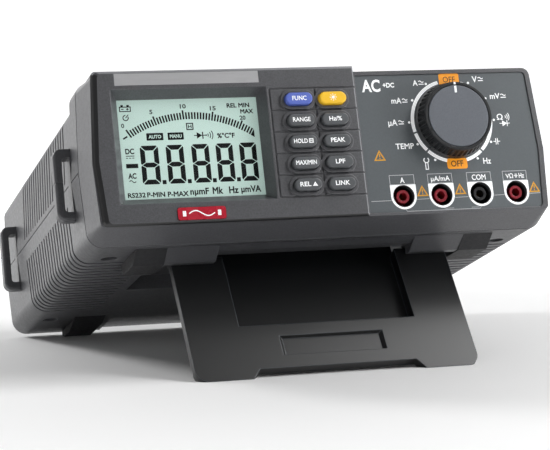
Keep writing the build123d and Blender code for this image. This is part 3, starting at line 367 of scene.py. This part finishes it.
class Print:
    """Flat marks of one colour on one face, gathered into a single thin mesh."""

    def __init__(self, name, depth, material, slot, body="case", thick=INK, at=(0.0, 0.0)):
        self.name, self.depth, self.thick, self.at = name, depth, thick, at
        self.material, self.slot, self.body = material, slot, body
        self.bm = bmesh.new()

    def _rings(self, points):
        front = [self.bm.verts.new((x, self.depth - self.thick, z)) for x, z in points]
        back = [self.bm.verts.new((x, self.depth, z)) for x, z in points]
        return front, back

    def polygon(self, points):
        """Filled outline, given anticlockwise as seen from the front."""
        front, back = self._rings(points)
        self.bm.faces.new(front)
        self.bm.faces.new(back[::-1])
        count = len(points)
        for i in range(count):
            j = (i + 1) % count
            self.bm.faces.new((front[j], front[i], back[i], back[j]))

    def band(self, left, right, closed=False):
        """Strip between two rows of points."""
        lf, lb = self._rings(left)
        rf, rb = self._rings(right)
        count = len(left)
        for i in range(count if closed else count - 1):
            j = (i + 1) % count
            self.bm.faces.new((lf[i], rf[i], rf[j], lf[j]))
            self.bm.faces.new((lb[j], rb[j], rb[i], lb[i]))
            self.bm.faces.new((lf[j], lb[j], lb[i], lf[i]))
            self.bm.faces.new((rf[i], rb[i], rb[j], rf[j]))
        if not closed:
            self.bm.faces.new((lf[0], lb[0], rb[0], rf[0]))
            self.bm.faces.new((rf[-1], rb[-1], lb[-1], lf[-1]))

    def line(self, points, width, closed=False):
        """Stroke of constant width along a path."""
        left, right = [], []
        count = len(points)
        for i, (x, z) in enumerate(points):
            before = points[i - 1] if (i > 0 or closed) else points[i]
            after = points[(i + 1) % count] if (i < count - 1 or closed) else points[i]
            first = Vector((x - before[0], z - before[1]))
            second = Vector((after[0] - x, after[1] - z))
            first = first.normalized() if first.length > TINY else second.normalized()
            second = second.normalized() if second.length > TINY else first
            along = first + second
            along = along.normalized() if along.length > TINY else first
            side = Vector((-along.y, along.x))
            reach = width / 2 / max(0.5, along.dot(first))
            left.append((x + side.x * reach, z + side.y * reach))
            right.append((x - side.x * reach, z - side.y * reach))
        self.band(left, right, closed)

    def disc(self, x, z, radius, count=24):
        self.polygon(on_arc(x, z, radius, 0, -360 + 360 / count, count - 1))

    def ring(self, x, z, inner, outer, start=0, end=360, count=72):
        closed = end - start >= 360
        last = end - (end - start) / count if closed else end
        steps = count - 1 if closed else count
        rows = [on_arc(x, z, radius, start, last, steps) for radius in (outer, inner)]
        self.band(*rows, closed)

    def box(self, left, right, low, high, corner=0.0):
        if corner <= 0:
            self.polygon([(left, low), (right, low), (right, high), (left, high)])
            return
        points = []
        for x, z, start in ((right - corner, low + corner, 180),
                            (right - corner, high - corner, 90),
                            (left + corner, high - corner, 0),
                            (left + corner, low + corner, -90)):
            points += on_arc(x, z, corner, start, start - 90, 5)
        self.polygon(points)

    def frame(self, left, right, low, high, width):
        half = width / 2
        left, right, low, high = left + half, right - half, low + half, high - half
        self.line([(left, low), (right, low), (right, high), (left, high)], width, closed=True)

    def text(self, words, left, right, low, high, weight=0.034):
        """Lettering stretched to fill the given box."""
        curve = bpy.data.curves.new("lettering", "FONT")
        curve.body = words
        curve.extrude = 0.5
        curve.bevel_depth = weight
        curve.bevel_resolution = 0
        curve.resolution_u = 3
        holder = bpy.data.objects.new("lettering", curve)
        bpy.context.scene.collection.objects.link(holder)
        graph = bpy.context.evaluated_depsgraph_get()
        mesh = bpy.data.meshes.new_from_object(holder.evaluated_get(graph))
        xs = [v.co.x for v in mesh.vertices]
        ys = [v.co.y for v in mesh.vertices]
        wide = (right - left) / (max(xs) - min(xs))
        tall = (high - low) / (max(ys) - min(ys))
        for v in mesh.vertices:
            x = left + (v.co.x - min(xs)) * wide
            z = low + (v.co.y - min(ys)) * tall
            y = self.depth - self.thick * (0.5 + v.co.z)    # the letters are one unit deep
            v.co = (x, y, z)
        self.bm.from_mesh(mesh)
        bpy.data.meshes.remove(mesh)
        bpy.data.objects.remove(holder)
        bpy.data.curves.remove(curve)

    def wave(self, left, right, z, height, width, count=16):
        points = []
        for i in range(count + 1):
            t = i / count
            points.append((left + (right - left) * t, z + height * math.sin(2 * math.pi * t)))
        self.line(points, width)

    def done(self):
        place = CASE @ Matrix.Translation((self.at[0], 0, self.at[1]))
        bmesh.ops.transform(self.bm, matrix=place, verts=self.bm.verts)
        bmesh.ops.recalc_face_normals(self.bm, faces=self.bm.faces)
        mesh = bpy.data.meshes.new(self.name)
        self.bm.to_mesh(mesh)
        self.bm.free()
        mesh.materials.append(MATERIALS[self.material])
        piece = bpy.data.objects.new(self.name, mesh)
        bpy.context.scene.collection.objects.link(piece)
        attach(piece, self.body)


def arc_point(x, z, radius, angle):
    return on_arc(x, z, radius, angle, angle, 1)[0]


def ac_dc(ink, left, right, z):
    """Wave over a bar, the mark for alternating and direct quantities."""
    ink.line([(left, z - 0.55), (right, z - 0.55)], 0.42)
    ink.wave(left, right, z + 0.75, 0.38, 0.42)


# --- dial panel -----------------------------------------------------------------------
SHEET = (SHEET_X, SHEET_Z)
# a text's box is left, right, low, high in millimetres, and the last number is its weight
white = Print("panel_legends", PANEL_Y, "white", "panel_sheet", at=SHEET)
white.text("AC", 23.3, 32.9, 68.0, 74.4, 0.030)
white.text("+DC", 34.3, 40.2, 70.1, 72.6)
for words, box, mark in (("A", (50.0, 52.6, 70.7, 73.6), (53.1, 55.7, 72.0)),
                         ("mA", (37.8, 43.0, 61.9, 64.9), (43.5, 46.1, 63.1)),
                         ("µA", (34.8, 39.6, 50.0, 53.9), (40.2, 42.9, 52.1)),
                         ("mV", (89.8, 95.0, 62.9, 65.9), (95.5, 98.3, 64.2)),
                         ("V", (81.4, 84.1, 71.7, 74.9), (84.6, 87.2, 73.1))):
    white.text(words, *box, 0.016)
    ac_dc(white, *mark)
white.text("TEMP", 37.2, 46.7, 38.9, 41.7, 0.016)
white.text("Hz", 81.9, 85.9, 30.0, 33.0, 0.016)
white.text("Ω", 92.0, 95.2, 52.1, 55.2, 0.016)
for step in range(3):                                   # buzzer: a dot and three arcs
    white.ring(95.6, 53.6, 0.9 + step * 0.95, 1.25 + step * 0.95, 52, 128, 10)
white.polygon([(94.6, 48.8), (97.0, 50.3), (94.6, 51.8)])            # diode
white.line([(93.1, 50.3), (98.6, 50.3)], 0.35)
white.line([(97.15, 48.8), (97.15, 51.8)], 0.4)
white.line([(88.6, 41.2), (89.9, 41.2)], 0.35)                        # capacitor
white.line([(90.9, 41.2), (92.2, 41.2)], 0.35)
for x in (89.95, 90.85):
    white.line([(x, 39.6), (x, 42.8)], 0.4)
white.ring(52.2, 32.9, 1.0, 1.55, 38, 322, 20)                        # current clamp
white.line([(51.55, 31.6), (51.55, 28.3), (52.85, 28.3), (52.85, 31.6)], 0.42)

RING_INNER, RING_OUTER = 19.6, 21.3
POSITION_DOTS = 22.3                                    # how far the dots lie from the axis
for start, end in ((-166, -136.3), (-133.7, -106.2), (-103.8, -14), (20, 136.8), (139.3, 165)):
    white.ring(*SHEET_DIAL, RING_INNER, RING_OUTER, start, end, 40)
for angle in (-150, -120, -90, -60, -30, 30, 60, 90, 120, 150):
    white.disc(*arc_point(*SHEET_DIAL, POSITION_DOTS, angle), 0.62)

SOCKET_X = (38.4, 58.1, 78.5, 97.5)
SOCKET_Z = 15.4
SURROUND = 6.6          # half width of the white surround of a socket
SURROUND_TOP = 5.6      # its straight top above the socket's middle
MOUTH = 5.5             # radius of the opening in the surround
LABEL_LOW, LABEL_HIGH = 21.0, 26.0
for x in SOCKET_X:
    inner, outer = [], []
    corner = math.degrees(math.atan2(SURROUND, SURROUND_TOP))
    angles = sorted([index * 6.0 for index in range(60)] + [corner, 360 - corner])
    for angle in angles:
        c, s = math.cos(math.radians(angle)), math.sin(math.radians(angle))
        reach = SURROUND
        if c > 0:
            reach = min(SURROUND / max(abs(s), TINY), SURROUND_TOP / c)
        outer.append((x + reach * s, SOCKET_Z + reach * c))
        inner.append((x + MOUTH * s, SOCKET_Z + MOUTH * c))
    white.band(outer, inner, closed=True)
white.text("A", 37.3, 39.6, 21.9, 24.7, 0.016)
white.text("µA/mA", 53.3, 63.2, 21.6, 24.8, 0.018)
white.text("COM", 74.7, 82.0, 22.0, 24.8, 0.012)
white.text("VΩ", 92.6, 96.6, 22.2, 24.7, 0.012)
white.line([(97.1, 23.4), (97.8, 23.4)], 0.25)
white.line([(98.4, 23.4), (99.1, 23.4)], 0.25)
for x in (97.8, 98.4):
    white.line([(x, 22.4), (x, 24.5)], 0.28)
white.text("Hz", 99.6, 102.4, 22.2, 24.7, 0.018)
white.done()

thin = Print("panel_lines", PANEL_Y, "pale", "panel_sheet", at=SHEET)
for x in SOCKET_X:
    thin.frame(x - 6.5, x + 6.3, LABEL_LOW + 0.05, LABEL_HIGH, 0.26)
thin.line([(21.5, 13.3), (31.7, 13.4)], 0.28)
thin.line([(45.1, 13.5), (51.4, 13.6)], 0.24)
thin.line([(64.8, 13.7), (71.8, 13.8)], 0.24)
thin.line([(85.2, 14.0), (90.8, 14.1)], 0.24)
thin.line([(104.2, 14.2), (109.9, 14.3)], 0.28)
thin.line([(38.7, 8.75), (39.3, 7.75), (77.2, 7.75), (77.8, 8.7)], 0.26)
thin.line([(58.6, 8.7), (59.2, 8.45), (63.5, 8.45)], 0.22)
thin.line([(72.8, 8.45), (76.8, 8.45)], 0.22)
thin.done()

orange = Print("off_patches", PANEL_Y, "orange", "panel_sheet", at=SHEET)
orange.box(63.9, 74.5, 70.4, 76.6, 1.1)
orange.box(62.8, 73.4, 28.0, 33.3, 1.1)
orange.done()
brown = Print("off_lettering", PANEL_Y - INK, "brown", "panel_sheet", at=SHEET)
brown.text("OFF", 66.0, 72.4, 72.0, 75.0, 0.006)
brown.text("OFF", 64.8, 71.3, 29.1, 32.2, 0.020)
brown.done()

amber = Print("amber_triangles", PANEL_Y, "amber", "panel_sheet", at=SHEET)
for x, z in ((28.4, 35.6), (48.2, 17.2), (67.9, 17.4), (107.0, 17.0)):
    amber.line([(x - 2.5, z - 1.9), (x + 2.5, z - 1.9), (x, z + 2.6)], 0.62, closed=True)
    amber.line([(x, z + 1.2), (x, z - 0.4)], 0.5)
    amber.disc(x, z - 1.05, 0.3, 12)
amber.done()

# --- selector pointer -----------------------------------------------------------------
pointer = Print("knob_pointer", CAP_Y, "white", "cap_grey", "selector")
pointer.box(DIAL_X - 0.55, DIAL_X + 0.55, DIAL_Z + 11.7, DIAL_Z + 15.1)
pointer.done()
rim = Print("knob_pointer_rim", SKIRT_Y, "white", "knob_grey", "selector")
rim.box(DIAL_X - 0.5, DIAL_X + 0.5, DIAL_Z + 15.95, DIAL_Z + 17.1)
rim.done()

# --- keys -----------------------------------------------------------------------------
KEY_X = (-11.4, 5.7)
KEY_TOP, KEY_PITCH = 64.1, 10.64
KEY_LABELS = (
    (("key_function", "FUNC", 7.2, "key_blue"), ("key_light", None, 0, "key_amber")),
    (("key_range", "RANGE", 8.8, "key_grey"), ("key_frequency", "Hz/%", 6.4, "key_grey")),
    (("key_hold", "HOLD", 6.9, "key_grey"), ("key_peak", "PEAK", 7.2, "key_grey")),
    (("key_max_min", "MAX/MIN", 10.4, "key_grey"), ("key_filter", "LPF", 4.8, "key_grey")),
    (("key_relative", "REL", 5.4, "key_grey"), ("key_link", "LINK", 7.2, "key_grey")),
)
BESIDE_SYMBOL = -1.6    # shift of a label that shares its key with a symbol
for row, pair in enumerate(KEY_LABELS):
    z = KEY_TOP - row * KEY_PITCH
    for x, (key, words, width, slot_name) in zip(KEY_X, pair):
        mark = Print(key + "_mark", KEY_Y, "white", slot_name, key)
        if words:
            middle = x + (BESIDE_SYMBOL if key in ("key_hold", "key_relative") else 0.0)
            mark.text(words, middle - width / 2, middle + width / 2, z - 1.1, z + 1.15, 0.020)
        if key == "key_hold":                            # small data-hold square
            mark.frame(x + 2.5, x + 4.7, z - 1.1, z + 1.15, 0.35)
            mark.text("H", x + 3.1, x + 4.1, z - 0.6, z + 0.65, 0.02)
        if key == "key_relative":
            mark.polygon([(x + 1.9, z - 1.0), (x + 4.5, z - 1.0), (x + 3.2, z + 1.15)])
        if key == "key_light":                           # lamp with rays
            mark.disc(x, z, 0.75, 20)
            for ray in range(8):
                a = ray * 45.0
                mark.line([arc_point(x, z, 1.15, a), arc_point(x, z, 1.8, a)], 0.3)
        mark.done()

# --- badge ----------------------------------------------------------------------------
badge = Print("badge_mark", BADGE_Y, "white", "badge_red")
badge.wave(-70.5, -58.1, 10.3, 1.3, 0.55, 40)
badge.box(-73.6, -72.0, 9.0, 11.6)
badge.box(-56.6, -55.0, 9.0, 11.6)
badge.done()

# --- display --------------------------------------------------------------------------
SEGMENT_Y = LCD_Y + LCD_SUNK
ink = Print("lcd_segments", SEGMENT_Y, "lcd_ink", "lcd_mint", thick=LCD_INK)
faint = Print("lcd_scale_numbers", SEGMENT_Y, "lcd_faint", "lcd_mint", thick=LCD_INK)

DIGIT_LOW, DIGIT_HIGH = 27.2, 46.1
DIGITS = ((-89.1, -80.2), (-76.5, -67.9), (-64.0, -55.4), (-52.0, -43.6), (-40.3, -31.9))
POINTS = (-78.6, -66.3, -54.0, -42.1)
STROKE = 2.5            # width of a segment
GAP = 0.17              # clear space between segments
SOFT = 1.1              # chamfer of a digit's corners
for left, right in DIGITS:
    low, high = DIGIT_LOW, DIGIT_HIGH
    middle = (low + high) / 2
    # top and bottom bars, chamfered where the side bars meet them
    for edge, inward in ((high, -1), (low, 1)):
        corner = edge + inward * 0.35
        inner = edge + inward * (STROKE - GAP)
        bar = [(left + GAP + 0.35, corner), (left + SOFT, edge), (right - SOFT, edge),
               (right - GAP - 0.35, corner), (right - STROKE, inner), (left + STROKE, inner)]
        ink.polygon(bar[::-1] if inward < 0 else bar)
    # middle bar, pointed at both ends
    below, above = middle - STROKE / 2 + 0.1, middle + STROKE / 2 - 0.1
    ink.polygon([(left + 0.55 + GAP, middle), (left + STROKE, below), (right - STROKE, below),
                 (right - 0.55 - GAP, middle), (right - STROKE, above), (left + STROKE, above)])
    for side, inward in ((left, 1), (right, -1)):
        inner = side + inward * (STROKE - GAP)
        for end, step in ((high, -1), (low, 1)):
            bar = [(side, end + step * (SOFT + GAP)),
                   (side + inward * 0.3, end + step * (0.55 + GAP)),
                   (inner, end + step * (STROKE + GAP)),
                   (inner, middle - step * (STROKE / 2 + GAP)),
                   (side + inward * 0.5, middle - step * GAP * 1.3),
                   (side, middle - step * (GAP + 0.5))]
            area = sum(p[0] * q[1] - q[0] * p[1] for p, q in zip(bar, bar[1:] + bar[:1]))
            ink.polygon(bar if area > 0 else bar[::-1])
for x in POINTS:
    ink.box(x - 0.95, x + 0.95, 27.1, 29.1, 0.15)

ARC_X, ARC_Z = -63.5, 3.6
ARC_INNER, ARC_SHORT, ARC_LONG = 55.0, 58.4, 59.5
TICKS, TICK_START, TICK_STEP = 45, -31.8, 1.445         # angles in degrees
TICK_WIDTH = 0.82
for index in range(TICKS):
    angle = TICK_START + index * TICK_STEP
    outer = ARC_LONG if index % 10 == 0 else ARC_SHORT
    ink.line([arc_point(ARC_X, ARC_Z, ARC_INNER, angle), arc_point(ARC_X, ARC_Z, outer, angle)],
             TICK_WIDTH)
ink.polygon([arc_point(ARC_X, ARC_Z, radius, angle)                   # arrow at the end
             for radius, angle in ((ARC_INNER, 32.6), (ARC_INNER, 34.9), (ARC_SHORT, 32.6))])
for words, x, z in (("0", -96.3, 56.2), ("5", -82.0, 62.6), ("10", -66.1, 65.0),
                    ("15", -51.4, 63.6), ("20", -37.1, 58.5)):
    half = 0.75 * len(words)
    faint.text(words, x - half, x + half, z - 1.1, z + 1.1)
faint.done()

ink.line([(-96.6, 49.7), (-94.5, 50.9)], 0.8)                         # minus of the bar graph
ink.frame(-97.3, -91.6, 63.0, 65.6, 0.45)                             # battery
for x in (-95.9, -93.0):
    ink.box(x - 0.6, x + 0.6, 65.6, 66.4)
ink.line([(-96.3, 64.3), (-95.1, 64.3)], 0.4)
ink.line([(-93.9, 64.3), (-92.6, 64.3)], 0.4)
ink.line([(-93.25, 63.7), (-93.25, 64.9)], 0.4)
ink.ring(-94.5, 60.0, 1.05, 1.5, 60, 360, 24)                         # timer
ink.line([(-94.5, 60.0), (-93.1, 61.6)], 0.4)
ink.frame(-65.4, -61.9, 53.2, 56.7, 0.5)                              # hold
ink.text("H", -64.5, -62.8, 54.1, 55.8, 0.03)
ink.polygon([(-60.6, 48.8), (-58.0, 50.4), (-60.6, 52.0)])            # diode
ink.line([(-62.0, 50.4), (-56.4, 50.4)], 0.4)
ink.line([(-57.7, 48.7), (-57.7, 52.1)], 0.55)
ink.disc(-56.0, 50.4, 0.4, 12)
for step in range(3):
    ink.ring(-56.3, 50.4, 1.1 + step * 1.15, 1.5 + step * 1.15, 55, 125, 8)
ink.text("%°C°F", -50.6, -41.9, 48.7, 51.3)
ink.text("REL MIN", -44.4, -33.1, 63.7, 65.9)
ink.text("MAX", -37.9, -31.4, 60.6, 62.8)
ink.text("DC", -96.2, -91.9, 42.2, 45.0)
ink.line([(-96.1, 41.3), (-92.0, 41.3)], 0.35)
for step in range(3):
    ink.line([(-96.1 + step * 1.5, 40.3), (-95.1 + step * 1.5, 40.3)], 0.35)
ink.box(-96.4, -90.6, 35.4, 37.5)
ink.text("AC", -95.9, -91.9, 30.2, 33.0)
ink.wave(-95.5, -92.3, 28.9, 0.5, 0.4)
for words, *area in (("RS232", -96.9, -88.3, 21.0, 23.4), ("P-MIN", -87.6, -78.9, 21.0, 23.4),
                     ("P-MAX", -77.6, -67.4, 20.9, 23.4), ("nµmF", -66.6, -57.4, 20.7, 24.6),
                     ("Mk", -55.6, -50.4, 21.4, 24.8), ("Hz", -47.5, -42.8, 21.4, 24.8),
                     ("µmVA", -41.5, -31.6, 20.9, 24.9)):
    ink.text(words, *area, 0.030)
for left, right in ((-85.3, -77.1), (-74.9, -67.1)):
    ink.box(left, right, 48.6, 52.2, 0.3)
ink.done()
reverse = Print("lcd_reversed_words", LCD_Y - 0.03, "lcd", "lcd_mint", thick=0.03)
reverse.text("AUTO", -84.3, -78.1, 49.5, 51.3)
reverse.text("MANU", -73.9, -68.1, 49.5, 51.3)
reverse.done()


# --- studio ---------------------------------------------------------------------------
GLOW_FROM, GLOW_TO, GLOW = 0.10, 1.0, 0.7       # metres from the object, and its strength there


def backdrop_material():
    """Pale paper that stays evenly white far from the object."""
    n = Nodes("studio_paper")
    n.link(n.mix(n.spread(n.noise(3.0), 0, 1), (0.86, 0.86, 0.86), (0.90, 0.90, 0.90)),
           n.shader.inputs["Base Color"])
    n.shader.inputs["Roughness"].default_value = 0.8
    away = n.tree.nodes.new("ShaderNodeVectorMath")
    away.operation = "LENGTH"
    n.link(n.coordinates, away.inputs[0])
    glow = n.tree.nodes.new("ShaderNodeMapRange")
    glow.interpolation_type = "SMOOTHSTEP"
    glow.inputs["From Min"].default_value = GLOW_FROM
    glow.inputs["From Max"].default_value = GLOW_TO
    glow.inputs["To Max"].default_value = GLOW
    n.link(away.outputs["Value"], glow.inputs["Value"])
    n.shader.inputs["Emission Color"].default_value = (1, 1, 1, 1)
    n.link(glow.outputs[0], n.shader.inputs["Emission Strength"])
    return n.material


FLOOR_FRONT, FLOOR_BACK, FLOOR_SIDE = -2.5, 2.2, 5.0
SWEEP_RADIUS, WALL_TOP = 0.9, 4.0


def sweep():
    """Pale paper floor that curves up behind the object."""
    bm = bmesh.new()
    rows = [(FLOOR_FRONT, 0.0)]
    for degrees in range(0, 91, 6):
        turned = math.radians(degrees)
        rows.append((FLOOR_BACK + SWEEP_RADIUS * math.sin(turned),
                     SWEEP_RADIUS - SWEEP_RADIUS * math.cos(turned)))
    rows.append((FLOOR_BACK + SWEEP_RADIUS, WALL_TOP))
    left = [bm.verts.new((-FLOOR_SIDE, y, z)) for y, z in rows]
    right = [bm.verts.new((FLOOR_SIDE, y, z)) for y, z in rows]
    for i in range(len(rows) - 1):
        bm.faces.new([left[i], right[i], right[i + 1], left[i + 1]])
    mesh = bpy.data.meshes.new("studio_floor")
    bm.to_mesh(mesh)
    bm.free()
    for face in mesh.polygons:
        face.use_smooth = True
    mesh.materials.append(backdrop_material())
    floor = bpy.data.objects.new("studio_floor", mesh)
    bpy.context.scene.collection.objects.link(floor)


sweep()


def area_light(name, place, target, size, power):
    data = bpy.data.lights.new(name, "AREA")
    data.shape = "DISK"
    data.size = size
    data.energy = power
    light = bpy.data.objects.new(name, data)
    bpy.context.scene.collection.objects.link(light)
    light.location = place
    light.rotation_euler = (Vector(target) - Vector(place)).to_track_quat("-Z", "Y").to_euler()


# name, place and target in metres, size in metres, power in watts
for settings in (("key_light", (0.90, -0.85, 1.0), (0, -0.1, 0.09), 0.45, 6.0),
                 ("ceiling", (1.0, -0.35, 1.35), (0.1, -0.12, 0.05), 0.9, 11.0),
                 ("left_rear", (-0.72, 0.62, 0.58), (-0.12, -0.08, 0.08), 0.30, 6.0),
                 ("left_front", (-1.1, -0.9, 0.55), (-0.05, 0, 0.07), 0.7, 0.8),
                 ("low_right", (0.50, -0.35, 0.10), (0.08, -0.12, 0.09), 0.16, 0.8)):
    area_light(*settings)

WORLD_LOW, WORLD_HIGH = 0.05, 0.20              # strength below and well above the horizon


def studio_world():
    """Even light from above the horizon, little from below it."""
    world = bpy.data.worlds.new("studio")
    bpy.context.scene.world = world
    world.use_nodes = True
    tree = world.node_tree
    direction = tree.nodes.new("ShaderNodeTexCoord").outputs["Generated"]
    height = tree.nodes.new("ShaderNodeSeparateXYZ")
    tree.links.new(direction, height.inputs[0])
    ramp = tree.nodes.new("ShaderNodeMapRange")
    ramp.inputs["From Min"].default_value = -0.12
    ramp.inputs["From Max"].default_value = 0.35
    ramp.inputs["To Min"].default_value = WORLD_LOW
    ramp.inputs["To Max"].default_value = WORLD_HIGH
    tree.links.new(height.outputs["Z"], ramp.inputs["Value"])
    sky = tree.nodes["Background"]
    sky.inputs["Color"].default_value = (1, 1, 1, 1)
    tree.links.new(ramp.outputs[0], sky.inputs["Strength"])


studio_world()
bpy.context.scene.view_settings.view_transform = "Standard"

# --- camera ---------------------------------------------------------------------------
# angles in degrees and lengths in millimetres, all in the case's frame
CAMERA_AZIMUTH, CAMERA_ELEVATION, CAMERA_ROLL = 17.07, -11.91, -6.17
CAMERA_TARGET = (5.0, 0.0, 45.0)
CAMERA_DISTANCE = 1043.14
CAMERA_ASIDE, CAMERA_RISE = -22.89, -37.58
LENS, SENSOR = 139.21, 36.0
CLIP_START = 0.05       # metres


def place_camera():
    azimuth, elevation = math.radians(CAMERA_AZIMUTH), math.radians(CAMERA_ELEVATION)
    roll = math.radians(CAMERA_ROLL)
    ahead = Vector((math.sin(azimuth) * math.cos(elevation),
                    math.cos(azimuth) * math.cos(elevation),
                    -math.sin(elevation)))
    level = ahead.cross(Vector((0, 0, 1))).normalized()
    above = level.cross(ahead)
    across = level * math.cos(roll) + above * math.sin(roll)
    rise = above * math.cos(roll) - level * math.sin(roll)
    eye = Vector(CAMERA_TARGET) - ahead * CAMERA_DISTANCE
    eye += across * CAMERA_ASIDE + rise * CAMERA_RISE
    turn = CASE.to_3x3().normalized()
    axes = Matrix((turn @ across, turn @ rise, turn @ -ahead)).transposed()
    data = bpy.data.cameras.new("camera")
    data.lens = LENS
    data.sensor_width = SENSOR
    data.clip_start = CLIP_START
    camera = bpy.data.objects.new("camera", data)
    bpy.context.scene.collection.objects.link(camera)
    camera.matrix_world = Matrix.Translation(CASE @ eye) @ axes.to_4x4()
    bpy.context.scene.camera = camera


place_camera()
